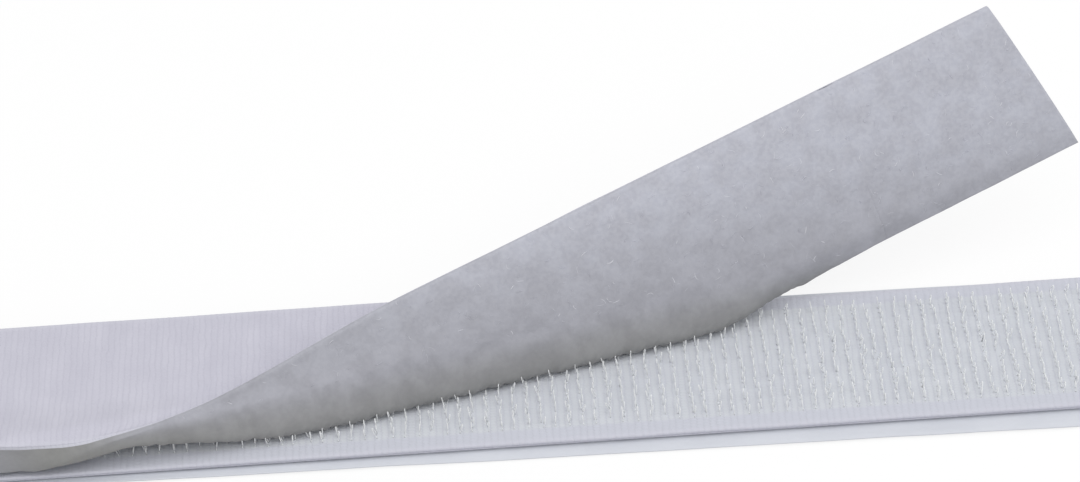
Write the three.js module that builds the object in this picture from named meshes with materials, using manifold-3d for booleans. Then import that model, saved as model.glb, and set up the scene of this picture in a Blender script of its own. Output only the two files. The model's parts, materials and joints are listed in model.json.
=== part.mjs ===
// A length of white hook and loop tape, half peeled open. The hook strip lies flat on its release
// liner with its hooks up. The loop strip is pressed face down on it at the left, folds up along an
// oblique peel line and stands free at the right. Millimetres, +Z up, X along the tape, and the
// origin under the middle of the hook strip, on the surface that the liner lies on.
import * as THREE from "three";
import { mergeVertices } from "three/addons/utils/BufferGeometryUtils.js";
import Module from "manifold-3d";

const wasm = await Module();
wasm.setup();

// Both strips
const TAPE_WIDTH = 20;
const HOOK_STRIP_LENGTH = 150;
const WEB_THICKNESS = 0.45;
const COATING_THICKNESS = 0.15;

// Release liner and adhesive under the hook strip
const LINER_WIDTH = 23;
const LINER_THICKNESS = 0.2;
const LINER_SKEW = THREE.MathUtils.degToRad(0.8);
const ADHESIVE_THICKNESS = 0.3;
const ADHESIVE_INSET = 0.4;

// Hooks: bands of lengthwise monofilaments, each raised into a row of hooks
const HOOK_SELVEDGE = 2;
const HOOK_BANDS = 4;
const FILAMENTS_PER_BAND = 2;
const HOOKS_PER_FILAMENT = 40;
const BAND_GAP = 0.1;
const BAND_BACKING = 0.15;
const HOOK_HEIGHT = 1.4;
const HOOK_CROWN_HEIGHT = 0.56;
const HOOK_REACH = 0.9;
const FILAMENT_RADIUS = 0.16;
const FILAMENT_SIDES = 3;
const HOOK_ROOT_DEPTH = 0.08;

// Loop strip: the pile hangs under the web, over the hooks
const PILE_THICKNESS = 1;
const PILE_MARGIN = 0.3;
const PILE_CLEARANCE = 0.3;
const LAYER_GAP = 0.1;

// The peel: where the fold starts on the near edge, its slant, and how the strip bends there
const CLOSED_LENGTH = 22.5;
const PEEL_SLANT = THREE.MathUtils.degToRad(14);
const BEND_RADIUS = 2;
const OPEN_ANGLE = THREE.MathUtils.degToRad(110);
const BEND_STEPS = 12;
const SEAM = 0.3;

// The free end beyond the fold, with the crosswise stretch where it flexes
const FLEX_CLEARANCE = 1.4;
const FLEX_LENGTH = 4;
const FREE_END_LENGTH = 18.5;
const CUT_SKEW = 4.2;

// Heights of the layers, from the surface up
const ADHESIVE_Z = LINER_THICKNESS;
const HOOK_COATING_Z = ADHESIVE_Z + ADHESIVE_THICKNESS;
const HOOK_WEB_Z = HOOK_COATING_Z + COATING_THICKNESS;
const HOOK_FIELD_Z = HOOK_WEB_Z + WEB_THICKNESS;
const HOOK_TIP_Z = HOOK_FIELD_Z + BAND_BACKING + HOOK_HEIGHT;
const LOOP_FACE_Z = HOOK_TIP_Z + PILE_CLEARANCE + PILE_THICKNESS;

// The peel line in the plan of the flat loop strip
const HALF_WIDTH = TAPE_WIDTH / 2;
const STRIP_START = -HOOK_STRIP_LENGTH / 2;
const PEEL_START = new THREE.Vector2(STRIP_START + CLOSED_LENGTH, -HALF_WIDTH);
const ALONG_PEEL = new THREE.Vector2(Math.cos(PEEL_SLANT), Math.sin(PEEL_SLANT));
const ACROSS_PEEL = new THREE.Vector2(Math.sin(PEEL_SLANT), -Math.cos(PEEL_SLANT));
const BEND_LENGTH = BEND_RADIUS * OPEN_ANGLE;
const BEND_END_FAR = PEEL_START.x + (BEND_LENGTH + TAPE_WIDTH * ALONG_PEEL.x) / ACROSS_PEEL.x;
const FLEX_START = BEND_END_FAR + FLEX_CLEARANCE;
const FLEX_END = FLEX_START + FLEX_LENGTH;
const FREE_END = FLEX_END + FREE_END_LENGTH;

// Layers of the loop strip, as heights over its loop face: the back is up, the pile hangs down
const LOOP_LAYERS = {
  coating: { low: WEB_THICKNESS + LAYER_GAP, high: WEB_THICKNESS + LAYER_GAP + COATING_THICKNESS, inset: 0 },
  web: { low: 0, high: WEB_THICKNESS, inset: 0 },
  pile: { low: -PILE_THICKNESS, high: -LAYER_GAP, inset: PILE_MARGIN },
};

// Finishes
const FINISH = {
  liner: new THREE.MeshStandardMaterial({ color: 0xe2e2e4, roughness: 0.45, metalness: 0 }),
  adhesive: new THREE.MeshStandardMaterial({ color: 0xc9c9c6, roughness: 0.3, metalness: 0 }),
  coating: new THREE.MeshStandardMaterial({ color: 0xcfcfda, roughness: 0.75, metalness: 0 }),
  web: new THREE.MeshStandardMaterial({ color: 0xd2d2dc, roughness: 0.9, metalness: 0 }),
  hooks: new THREE.MeshStandardMaterial({ color: 0xd6d8d6, roughness: 0.4, metalness: 0 }),
  pile: new THREE.MeshStandardMaterial({ color: 0xc4c5cf, roughness: 1, metalness: 0 }),
};

function namedMesh(name, geometry, finish) {
  const mesh = new THREE.Mesh(geometry, finish);
  mesh.name = name;
  return mesh;
}

// A rectangular layer centred on the tape, standing on height z.
function layer(name, length, width, thickness, z, finish) {
  const mesh = namedMesh(name, new THREE.BoxGeometry(length, width, thickness), finish);
  mesh.position.z = z + thickness / 2;
  return mesh;
}

// A closed surface joined from rings of points that run one after another, with flat ends.
function ringSolid(rings) {
  const sides = rings[0].length;
  const points = rings.flat();
  const faces = [];
  for (let ring = 0; ring < rings.length - 1; ring++) {
    for (let side = 0; side < sides; side++) {
      const next = (side + 1) % sides;
      const here = ring * sides;
      const there = here + sides;
      faces.push(here + side, there + next, here + next, here + side, there + side, there + next);
    }
  }
  const last = (rings.length - 1) * sides;
  for (let side = 1; side < sides - 1; side++) {
    faces.push(0, side, side + 1);
    faces.push(last, last + side + 1, last + side);
  }
  return new THREE.BufferGeometry().setFromPoints(points).setIndex(faces);
}

function toSolid(geometry) {
  const bare = geometry.clone();
  bare.deleteAttribute("normal");
  bare.deleteAttribute("uv");
  const merged = mergeVertices(bare);
  const mesh = new wasm.Mesh({
    numProp: 3,
    vertProperties: new Float32Array(merged.attributes.position.array),
    triVerts: new Uint32Array(merged.index.array),
  });
  return new wasm.Manifold(mesh);
}

function toGeometry(solid) {
  const mesh = solid.getMesh();
  return new THREE.BufferGeometry()
    .setAttribute("position", new THREE.BufferAttribute(mesh.vertProperties, 3))
    .setIndex(new THREE.BufferAttribute(mesh.triVerts, 1));
}

// One hook: a stem, a crown and a tip that comes down again, bent over towards +Y or -Y.
function hook(x, y, lean) {
  const shoulder = HOOK_HEIGHT - HOOK_CROWN_HEIGHT;
  const path = [
    new THREE.Vector2(0, -HOOK_ROOT_DEPTH),
    new THREE.Vector2(0, shoulder),
    new THREE.Vector2(HOOK_REACH / 2, HOOK_HEIGHT - FILAMENT_RADIUS),
    new THREE.Vector2(HOOK_REACH, shoulder),
  ];
  const rings = path.map((point, station) => {
    const before = path[Math.max(station - 1, 0)];
    const after = path[Math.min(station + 1, path.length - 1)];
    const tangent = after.clone().sub(before).normalize();
    return Array.from({ length: FILAMENT_SIDES }, (_, side) => {
      const turn = (2 * Math.PI * side) / FILAMENT_SIDES;
      const out = FILAMENT_RADIUS * Math.cos(turn);
      return new THREE.Vector3(
        x + lean * FILAMENT_RADIUS * Math.sin(turn),
        y + lean * (point.x + out * tangent.y),
        point.y - out * tangent.x,
      );
    });
  });
  return ringSolid(rings);
}

// A band of hook filaments, standing on the slice of web that they are woven into. The hooks of
// neighbouring filaments stand half a pitch apart.
function hookBand(index) {
  const pitchY = (TAPE_WIDTH - 2 * HOOK_SELVEDGE) / HOOK_BANDS;
  const middle = (index - (HOOK_BANDS - 1) / 2) * pitchY;
  const slice = new THREE.BoxGeometry(HOOK_STRIP_LENGTH, pitchY - BAND_GAP, BAND_BACKING);
  slice.translate(0, middle, -BAND_BACKING / 2);
  let solid = toSolid(slice);
  const pitchX = HOOK_STRIP_LENGTH / HOOKS_PER_FILAMENT;
  for (let filament = 0; filament < FILAMENTS_PER_BAND; filament++) {
    const y = middle + ((filament + 0.5) / FILAMENTS_PER_BAND - 0.5) * pitchY;
    const odd = filament % 2;
    const lean = odd ? 1 : -1;
    const first = STRIP_START + ((odd + 0.5) / 2) * pitchX;
    for (let row = 0; row < HOOKS_PER_FILAMENT; row++) {
      const x = first + row * pitchX;
      solid = solid.add(toSolid(hook(x, y - (lean * HOOK_REACH) / 2, lean)));
    }
  }
  const mesh = namedMesh(`hook_band_${index + 1}`, toGeometry(solid), FINISH.hooks);
  mesh.position.z = HOOK_FIELD_Z + BAND_BACKING;
  return mesh;
}

// How far a point of the flat loop strip lies past the peel line.
function pastPeel(point) {
  return point.clone().sub(PEEL_START).dot(ACROSS_PEEL);
}

// The part of a flat outline where the reading is zero or more.
function clip(outline, reading) {
  return outline.flatMap((point, i) => {
    const next = outline[(i + 1) % outline.length];
    const here = reading(point);
    const there = reading(next);
    const kept = here >= 0 ? [point] : [];
    if (here * there < 0) {
      kept.push(point.clone().lerp(next, here / (here - there)));
    }
    return kept;
  });
}

// The loop strip's outline when it lies flat, with a slightly slanting cut at its free end.
function stripOutline(inset) {
  const side = HALF_WIDTH - inset;
  const slant = (CUT_SKEW / TAPE_WIDTH) * side;
  return [
    new THREE.Vector2(STRIP_START, -side),
    new THREE.Vector2(FREE_END - slant, -side),
    new THREE.Vector2(FREE_END + slant, side),
    new THREE.Vector2(STRIP_START, side),
  ];
}

// The flat stretches of the loop strip, each as the readings that bound it.
const STRETCHES = {
  closed: [(p) => -SEAM / 2 - pastPeel(p)],
  flap: [(p) => pastPeel(p) - BEND_LENGTH - SEAM / 2, (p) => FLEX_START - SEAM / 2 - p.x],
  flex: [(p) => p.x - FLEX_START - SEAM / 2, (p) => FLEX_END - SEAM / 2 - p.x],
  end: [(p) => p.x - FLEX_END - SEAM / 2],
};

// One layer of a flat stretch of the loop strip, drawn as the strip lies flat.
function loopPlate(layerName, stretch) {
  const { low, high, inset } = LOOP_LAYERS[layerName];
  const outline = STRETCHES[stretch].reduce(clip, stripOutline(inset));
  const shape = new THREE.Shape(outline);
  const geometry = new THREE.ExtrudeGeometry(shape, { depth: high - low, bevelEnabled: false });
  geometry.translate(0, 0, LOOP_FACE_Z + low);
  return namedMesh(`loop_${layerName}_${stretch}`, geometry, FINISH[layerName]);
}

// A point of the bent stretch, from its distance past the peel line, its place across the strip and
// its height over the loop face.
function bentPoint(past, across, height) {
  const dv = across + HALF_WIDTH;
  const du = (past + dv * ALONG_PEEL.x) / ACROSS_PEEL.x;
  const along = du * ALONG_PEEL.x + dv * ALONG_PEEL.y;
  const turn = past / BEND_RADIUS;
  const out = (BEND_RADIUS - height) * Math.sin(turn);
  const plan = PEEL_START.clone().addScaledVector(ALONG_PEEL, along).addScaledVector(ACROSS_PEEL, out);
  const z = LOOP_FACE_Z + BEND_RADIUS - (BEND_RADIUS - height) * Math.cos(turn);
  return new THREE.Vector3(plan.x, plan.y, z);
}

// One layer of the bent stretch, rolled round the peel line.
function loopBend(layerName) {
  const { low, high, inset } = LOOP_LAYERS[layerName];
  const side = HALF_WIDTH - inset;
  const rings = Array.from({ length: BEND_STEPS + 1 }, (_, step) => {
    const past = SEAM / 2 + ((BEND_LENGTH - SEAM) * step) / BEND_STEPS;
    return [
      bentPoint(past, -side, low),
      bentPoint(past, -side, high),
      bentPoint(past, side, high),
      bentPoint(past, side, low),
    ];
  });
  return namedMesh(`loop_${layerName}_bend`, ringSolid(rings), FINISH[layerName]);
}

// A group that turns its flat children up about the peel, so that the strip keeps its length.
function peeledGroup() {
  const reach = BEND_LENGTH / 2;
  const plan = PEEL_START.clone().addScaledVector(ACROSS_PEEL, reach);
  const height = LOOP_FACE_Z + BEND_RADIUS - reach / Math.tan(OPEN_ANGLE / 2);
  const pivot = new THREE.Vector3(plan.x, plan.y, height);
  const openAxis = new THREE.Vector3(-ALONG_PEEL.x, -ALONG_PEEL.y, 0);
  const hinge = new THREE.Group();
  hinge.position.copy(pivot);
  hinge.quaternion.setFromAxisAngle(openAxis, OPEN_ANGLE);
  const flat = new THREE.Group();
  flat.position.copy(pivot).negate();
  hinge.add(flat);
  return { hinge, flat };
}

// The hook strip on its liner
function hookStrip() {
  const group = new THREE.Group();
  const liner = layer("release_liner", HOOK_STRIP_LENGTH, LINER_WIDTH, LINER_THICKNESS, 0, FINISH.liner);
  liner.rotation.z = -LINER_SKEW;
  const adhesiveWidth = TAPE_WIDTH - 2 * ADHESIVE_INSET;
  const length = HOOK_STRIP_LENGTH;
  group.add(
    liner,
    layer("adhesive_layer", length, adhesiveWidth, ADHESIVE_THICKNESS, ADHESIVE_Z, FINISH.adhesive),
    layer("hook_coating", length, TAPE_WIDTH, COATING_THICKNESS, HOOK_COATING_Z, FINISH.coating),
    layer("hook_web", length, TAPE_WIDTH, WEB_THICKNESS, HOOK_WEB_Z, FINISH.web),
  );
  for (let band = 0; band < HOOK_BANDS; band++) {
    group.add(hookBand(band));
  }
  return group;
}

// The loop strip: closed, bent and peeled stretches of each layer
function loopStrip() {
  const group = new THREE.Group();
  const { hinge, flat } = peeledGroup();
  for (const layerName of Object.keys(LOOP_LAYERS)) {
    group.add(loopPlate(layerName, "closed"), loopBend(layerName));
    flat.add(loopPlate(layerName, "flap"), loopPlate(layerName, "flex"), loopPlate(layerName, "end"));
  }
  group.add(hinge);
  return group;
}

const tape = new THREE.Group();
tape.add(hookStrip(), loopStrip());

export default tape;
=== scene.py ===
"""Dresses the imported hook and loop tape: liner paper, woven grounds, hook rows and brushed loops.

Lengths in the classes are millimetres of the part's frame. Meshes are made in metres.
"""

import json
import logging
import math
from dataclasses import dataclass
from enum import Enum
from typing import Any

import bpy
import numpy as np
from mathutils import Matrix, Vector


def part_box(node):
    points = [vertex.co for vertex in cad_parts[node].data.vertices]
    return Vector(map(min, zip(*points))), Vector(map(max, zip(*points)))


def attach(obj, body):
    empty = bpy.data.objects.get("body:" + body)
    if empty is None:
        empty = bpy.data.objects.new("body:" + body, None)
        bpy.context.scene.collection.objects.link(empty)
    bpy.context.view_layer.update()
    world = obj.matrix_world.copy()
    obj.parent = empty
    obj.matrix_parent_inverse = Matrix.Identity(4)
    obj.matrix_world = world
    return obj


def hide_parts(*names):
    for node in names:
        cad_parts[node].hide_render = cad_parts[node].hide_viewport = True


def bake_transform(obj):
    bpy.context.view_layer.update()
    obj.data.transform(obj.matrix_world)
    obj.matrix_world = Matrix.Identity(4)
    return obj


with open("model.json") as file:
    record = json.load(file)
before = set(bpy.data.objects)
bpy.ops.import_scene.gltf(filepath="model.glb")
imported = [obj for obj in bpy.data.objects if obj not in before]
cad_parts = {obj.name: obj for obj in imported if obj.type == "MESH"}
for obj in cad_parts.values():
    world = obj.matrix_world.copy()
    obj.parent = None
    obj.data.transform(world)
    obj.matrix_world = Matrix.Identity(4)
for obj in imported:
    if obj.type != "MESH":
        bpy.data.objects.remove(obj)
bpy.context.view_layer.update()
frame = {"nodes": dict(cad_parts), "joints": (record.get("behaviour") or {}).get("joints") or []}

MM = 0.001
TAPE_MAP = "tape"
BAKE_MAP = "OFBake"
PHOTO_WIDTH = 1080
WHITE = (1.0, 1.0, 1.0, 1.0)

# On the bake map: share of its cell that an unrolled tube takes, and places and radius of its ends
TUBE_SHARE = 0.9
END_SPOTS = ((0.95, 0.2), (0.95, 0.6))
END_RADIUS = 0.03

Array = np.ndarray
Colour = tuple[int, int, int]
Range = tuple[float, float]
Piece = bpy.types.Object
Material = bpy.types.Material
Node = bpy.types.Node
Socket = bpy.types.NodeSocket
Tree = bpy.types.NodeTree
# A colour, what the roughness follows, and the height of the fine relief
Pattern = tuple[Socket, Socket, Socket]

log = logging.getLogger("tape")


# Small helpers


def linear(colour: Colour) -> tuple[float, float, float, float]:
    """Turns a display colour of 0 to 255 into the linear colour that shaders take.

    Args:
        colour: Red, green and blue as they show on a screen.

    Returns:
        The linear colour with an alpha of one.
    """
    shares = [channel / 255 for channel in colour]
    red, green, blue = (s / 12.92 if s <= 0.04045 else ((s + 0.055) / 1.055) ** 2.4 for s in shares)
    return red, green, blue, 1.0


def smooth(values: Array) -> Array:
    """Eases values from 0 to 1 with level ends."""
    share = np.clip(values, 0, 1)
    return share * share * (3 - 2 * share)


def ease(values: Array, low: float, high: float) -> Array:
    """Eases values from 0 at a low limit to 1 at a high one."""
    return smooth((values - low) / (high - low))


def hump(values: Array, rise: Range, fall: Range) -> Array:
    """Eases values from 0 up to 1 over one range and back down over a later one."""
    return ease(values, *rise) * (1 - ease(values, *fall))


def corners(node: str) -> Array:
    """Gives the points of a CAD node at rest, in millimetres."""
    return np.array([vertex.co for vertex in frame["nodes"][node].data.vertices]) / MM


def circle(sides: int) -> Array:
    """Gives points round a circle of radius one, as sides by 2."""
    turn = np.arange(sides) * (2 * math.pi / sides)
    return np.stack([np.cos(turn), np.sin(turn)], axis=-1)


def link(name: str, data: bpy.types.ID) -> Piece:
    """Makes an object and links it to the scene.

    Args:
        name: Name of the object.
        data: Its mesh, lamp or camera.

    Returns:
        The new object.
    """
    made = bpy.data.objects.new(name, data)
    bpy.context.scene.collection.objects.link(made)
    return made


# Meshes


def ring_stack(name: str, rings: Array, flat: Array) -> Piece:
    """Skins stacks of rings as closed tubes and links them as one object.

    Args:
        name: Name of the piece.
        rings: Points in millimetres, as tubes by rings by points round a ring by 3.
        flat: Place on the flat tape of each point, as tubes by rings by points by 2.

    Returns:
        The new object.
    """
    tubes, stations, sides, _ = rings.shape
    points = rings.reshape(-1, 3)
    index = np.arange(len(points)).reshape(tubes, stations, sides)
    beside = np.roll(index, -1, axis=2)
    quads = np.stack([index[:, :-1], beside[:, :-1], beside[:, 1:], index[:, 1:]], axis=-1)
    middle = rings[0].mean(axis=(0, 1))
    a, b, c = (points[quads[0].reshape(-1, 4)[:, k]] - middle for k in range(3))
    inward = np.einsum("ij,ij->i", a, np.cross(b, c)).sum() < 0
    if inward:
        quads = quads[..., ::-1]
    starts, ends = index[:, 0], index[:, -1]
    caps = [starts, ends[:, ::-1]] if inward else [starts[:, ::-1], ends]
    faces = quads.reshape(-1, 4).tolist() + np.concatenate(caps).tolist()

    mesh = bpy.data.meshes.new(name)
    mesh.from_pydata((points * MM).tolist(), [], faces)
    mesh.polygons.foreach_set("use_smooth", np.arange(len(faces)) < quads.size // 4)

    vertices = np.empty(len(mesh.loops), np.int32)
    mesh.loops.foreach_get("vertex_index", vertices)
    tape, bake = flat.reshape(-1, 2)[vertices], bake_layout(tubes, stations, sides, inward)
    for key, places in ((TAPE_MAP, tape), (BAKE_MAP, bake)):
        layer = mesh.uv_layers.new(name=key)
        layer.uv.foreach_set("vector", places.astype(np.float32).ravel())
    return link(name, mesh)


def bake_layout(tubes: int, stations: int, sides: int, inward: bool) -> Array:
    """Lays the tubes out side by side on a square, unrolled.

    Args:
        tubes: Number of tubes.
        stations: Number of rings on each tube.
        sides: Number of points round a ring.
        inward: Whether the faces were turned over.

    Returns:
        The place of each face corner on the square.
    """
    columns = math.ceil(math.sqrt(tubes))
    cell = 1 / columns
    which = np.arange(tubes)
    origin = np.stack([which % columns, which // columns], axis=-1) * cell
    station, side = np.meshgrid(np.arange(stations - 1), np.arange(sides), indexing="ij")
    steps = [(0, 0), (0, 1), (1, 1), (1, 0)]
    if inward:
        steps = steps[::-1]
    unrolled = [
        np.stack([(side + q) / sides, (station + p) / (stations - 1)], axis=-1) for p, q in steps
    ]
    tube = np.stack(unrolled, axis=-2).reshape(-1, 2) * TUBE_SHARE * cell
    disc = circle(sides) * END_RADIUS * cell
    ends = [(origin + np.array(spot) * cell)[:, None] + disc for spot in END_SPOTS]
    return np.concatenate([part.reshape(-1, 2) for part in (origin[:, None] + tube, *ends)])


def strands(name: str, paths: Array, radii: Array, sides: int, up: Array, flat: Array) -> Piece:
    """Makes round filaments along paths.

    Args:
        name: Name of the piece.
        paths: Points of each filament, as filaments by points by 3.
        radii: Radius at each point, as filaments by points.
        sides: Number of sides of a filament.
        up: A direction off each filament, which its rings are set by.
        flat: Place on the flat tape of each filament, as filaments by 2.

    Returns:
        The new object.
    """
    run = np.gradient(paths, axis=1)
    across = np.cross(run, up)
    across /= np.linalg.norm(across, axis=-1, keepdims=True)
    over = np.cross(across, run)
    over /= np.linalg.norm(over, axis=-1, keepdims=True)
    cos, sin = circle(sides).T[..., None]
    ring = cos * across[:, :, None] + sin * over[:, :, None]
    rings = paths[:, :, None] + radii[:, :, None, None] * ring
    return ring_stack(name, rings, np.broadcast_to(flat[:, None, None], rings.shape[:3] + (2,)))


@dataclass(frozen=True)
class Grid:
    """The points of a strip while it is still flat, as rings by points round a ring.

    Attributes:
        u: Places along the tape.
        v: Places across it.
        h: Heights.
        side: The face: 1 above, -1 below, in between on the edges.
    """

    u: Array
    v: Array
    h: Array
    side: Array

    def skin(self, name: str, points: Array) -> Piece:
        """Makes a piece of the points that the grid was shaped into."""
        return ring_stack(name, points[None], np.stack([self.u, self.v], axis=-1)[None])


@dataclass(frozen=True)
class Section:
    """The closed outline of a flat strip's cross section, with round edges.

    Attributes:
        half_width: Half of the strip's width.
        low: Height of the lower face.
        high: Height of the upper face.
        edge: How far in the round edges reach.
        upper: Number of points across the upper face.
        lower: Number of points across the lower face.
    """

    half_width: float
    low: float
    high: float
    edge: float
    upper: int
    lower: int

    EDGE_POINTS = 4

    def outline(self) -> tuple[Array, Array, Array]:
        """Gives the outline's points, upper face first.

        Returns:
            The places across, the heights, and the side: 1 above, -1 below, in between on the edges.
        """
        reach = self.half_width - self.edge
        middle, half = (self.low + self.high) / 2, (self.high - self.low) / 2
        turn = np.linspace(0, math.pi, self.EDGE_POINTS + 2)[1:-1]
        v = np.concatenate([
            np.linspace(-reach, reach, self.upper),
            reach + self.edge * np.sin(turn),
            np.linspace(reach, -reach, self.lower),
            -reach - self.edge * np.sin(turn),
        ])
        side = np.concatenate([
            np.ones(self.upper), np.cos(turn), -np.ones(self.lower), -np.cos(turn),
        ])
        return v, middle + half * side, side

    def grid(self, u: Array) -> Grid:
        """Draws the section along the tape.

        Args:
            u: Stations along the tape, one for each ring, or rings by points.

        Returns:
            The flat points.
        """
        outline = self.outline()
        along = np.broadcast_to(u if u.ndim == 2 else u[:, None], (len(u), len(outline[0])))
        return Grid(along, *(np.broadcast_to(values, along.shape) for values in outline))


# Uneven cloth


class Relief:
    """A smooth random relief over the flat tape, from -1 to 1, the same on each run."""

    ROWS, COLUMNS = 1024, 256

    def __init__(self, seed: int, along: float, across: float) -> None:
        """Draws a lattice with these distances between its points."""
        self.values = np.random.default_rng(seed).uniform(-1, 1, (self.ROWS, self.COLUMNS))
        self.along, self.across = along, across

    def __call__(self, u: Array, v: Array) -> Array:
        """Gives the relief at flat places.

        Args:
            u: Places along the tape.
            v: Places across the tape.

        Returns:
            The relief at each place.
        """
        row, column = u / self.along, v / self.across
        i, j = np.floor(row).astype(int), np.floor(column).astype(int)
        s, t = smooth(row - i), smooth(column - j)
        near, far = (self._line(i, j + k, s) for k in range(2))
        return near * (1 - t) + far * t

    def _line(self, i: Array, j: Array, share: Array) -> Array:
        """Gives the relief on lines of the lattice, between two of their points."""
        first, second = (self.values[(i + k) % self.ROWS, j % self.COLUMNS] for k in range(2))
        return first * (1 - share) + second * share


class EdgeCourse(Relief):
    """The uneven course of a strip's two long edges, each its own."""

    # Distance between lattice points across, and how far off the middle each edge's course is read
    APART, PLACE = 40.0, 30.0

    def __init__(self, seed: int, along: float) -> None:
        """Draws a lattice with this distance between its points along the tape."""
        super().__init__(seed, along, self.APART)

    def __call__(self, u: Array, v: Array) -> Array:
        """Gives the course of the edge that each place belongs to."""
        return super().__call__(u, np.sign(v) * self.PLACE)

    def wander(self, grid: Grid, limit: float, band: float = 1.0, most: float = 0.05) -> Array:
        """Lets the long edges of a layer wander.

        Args:
            grid: The flat layer.
            limit: Half of its width.
            band: How far in from the edge it is moved.
            most: How far the edge is moved at most.

        Returns:
            The places across.
        """
        share = ease(np.abs(grid.v), limit - band, limit)
        return grid.v + most * share * np.sign(grid.v) * self(grid.u, grid.v)


@dataclass(frozen=True)
class Ribs:
    """The crosswise ribs of a woven ground, a little uneven.

    Attributes:
        seed: Seed of the unevenness.
        pitch: Distance between the ribs.
        drift: How far a rib drifts off its place.
        drift_size: Distances along and across over which the drift changes.
        uneven: Share by which a rib is higher or lower.
        uneven_across: Distance across over which its height changes.
        lean: How far a rib runs along the tape for each millimetre across it.
    """

    seed: int
    pitch: float
    drift: float
    drift_size: Range
    uneven: float
    uneven_across: float
    lean: float = 0.0

    def height(self, grid: Grid) -> Array:
        """Gives the height of the ribs, in shares of a mean rib.

        Args:
            grid: The flat layer.

        Returns:
            The height at each of its points.
        """
        off = self.drift * Relief(self.seed, *self.drift_size)(grid.u, grid.v)
        phase = (grid.u + off - self.lean * grid.v) / self.pitch
        tall = Relief(self.seed + 1, self.pitch, self.uneven_across)(grid.u, grid.v)
        return np.abs(np.sin(math.pi * phase)) * (1 + self.uneven * tall)


# The peel


@dataclass(frozen=True)
class PeelFold:
    """How the flat loop strip is bent up round its oblique peel line.

    Attributes:
        face: Height of the strip's loop face where it is closed.
        radius: Radius of the bend at the loop face.
        angle: How far the strip is opened, in radians.
        across: Direction in plan across the peel line, towards the flap.
        contact: Where the bend starts, measured along that direction.
        pivot: A point on the axis of the peel joint.
    """

    face: float
    radius: float
    angle: float
    across: Array
    contact: float
    pivot: Array

    @classmethod
    def from_frame(cls) -> "PeelFold":
        """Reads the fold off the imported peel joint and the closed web.

        Returns:
            The fold.
        """
        joint = next(j for j in frame["joints"] if j["name"] == "loop_peel")
        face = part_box("loop_web_closed")[0].z / MM
        angle = math.radians(-joint["range_deg"][0])
        pivot = np.array(joint["pos_m"]) / MM
        half = angle / 2
        radius = (pivot[2] - face) / (1 - half / math.tan(half))
        along = -np.array(joint["axis"])
        across = np.array([along[1], -along[0]])
        return cls(face, radius, angle, across, float(pivot[:2] @ across) - radius * half, pivot)

    @property
    def length(self) -> float:
        """Gives the length of the bend along the strip's loop face."""
        return self.radius * self.angle

    def past(self, u: Array, v: Array) -> Array:
        """Gives how far flat places lie past the contact line, across it."""
        return u * self.across[0] + v * self.across[1] - self.contact

    def turn(self, u: Array, v: Array) -> Array:
        """Gives how far the strip has turned up at flat places, in radians."""
        return np.clip(self.past(u, v) / self.radius, 0, self.angle)

    def flatten(self, points: Array) -> Array:
        """Lays points of the flap back on the closed strip.

        Args:
            points: Points of the flap at rest.

        Returns:
            Their places along, across and up when the strip is closed.
        """
        axis = Vector((self.across[1], -self.across[0], 0))
        turn = np.array(Matrix.Rotation(-self.angle, 3, axis))
        return (points - self.pivot) @ turn.T + self.pivot

    def place(self, u: Array, v: Array, h: Array) -> Array:
        """Bends flat places into the part's frame.

        Args:
            u: Places along the flat strip.
            v: Places across it.
            h: Heights over the loop face, which are negative in the pile.

        Returns:
            The bent points, with a last axis of 3.
        """
        past = self.past(u, v)
        bent = self.turn(u, v)
        beyond = np.maximum(past - self.length, 0)
        arm = self.radius - h
        out = np.minimum(past, 0) + arm * np.sin(bent) + beyond * math.cos(self.angle)
        up = self.face + self.radius - arm * np.cos(bent) + beyond * math.sin(self.angle)
        shift = out - past
        return np.stack([u + shift * self.across[0], v + shift * self.across[1], up], axis=-1)

    def chord(self, skip: float) -> tuple[Array, Array]:
        """Gives the two ends of the stretch that flexes, on one ruling.

        Args:
            skip: Share of the bend next to the contact line that keeps its shape.

        Returns:
            The points, in millimetres.
        """
        start = self.across * self.contact
        end = start + self.across * self.length
        first, last = (self.place(spot[:1], spot[1:], np.zeros(1))[0] for spot in (start, end))
        return first + skip * (last - first), last


# Finishes


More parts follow.
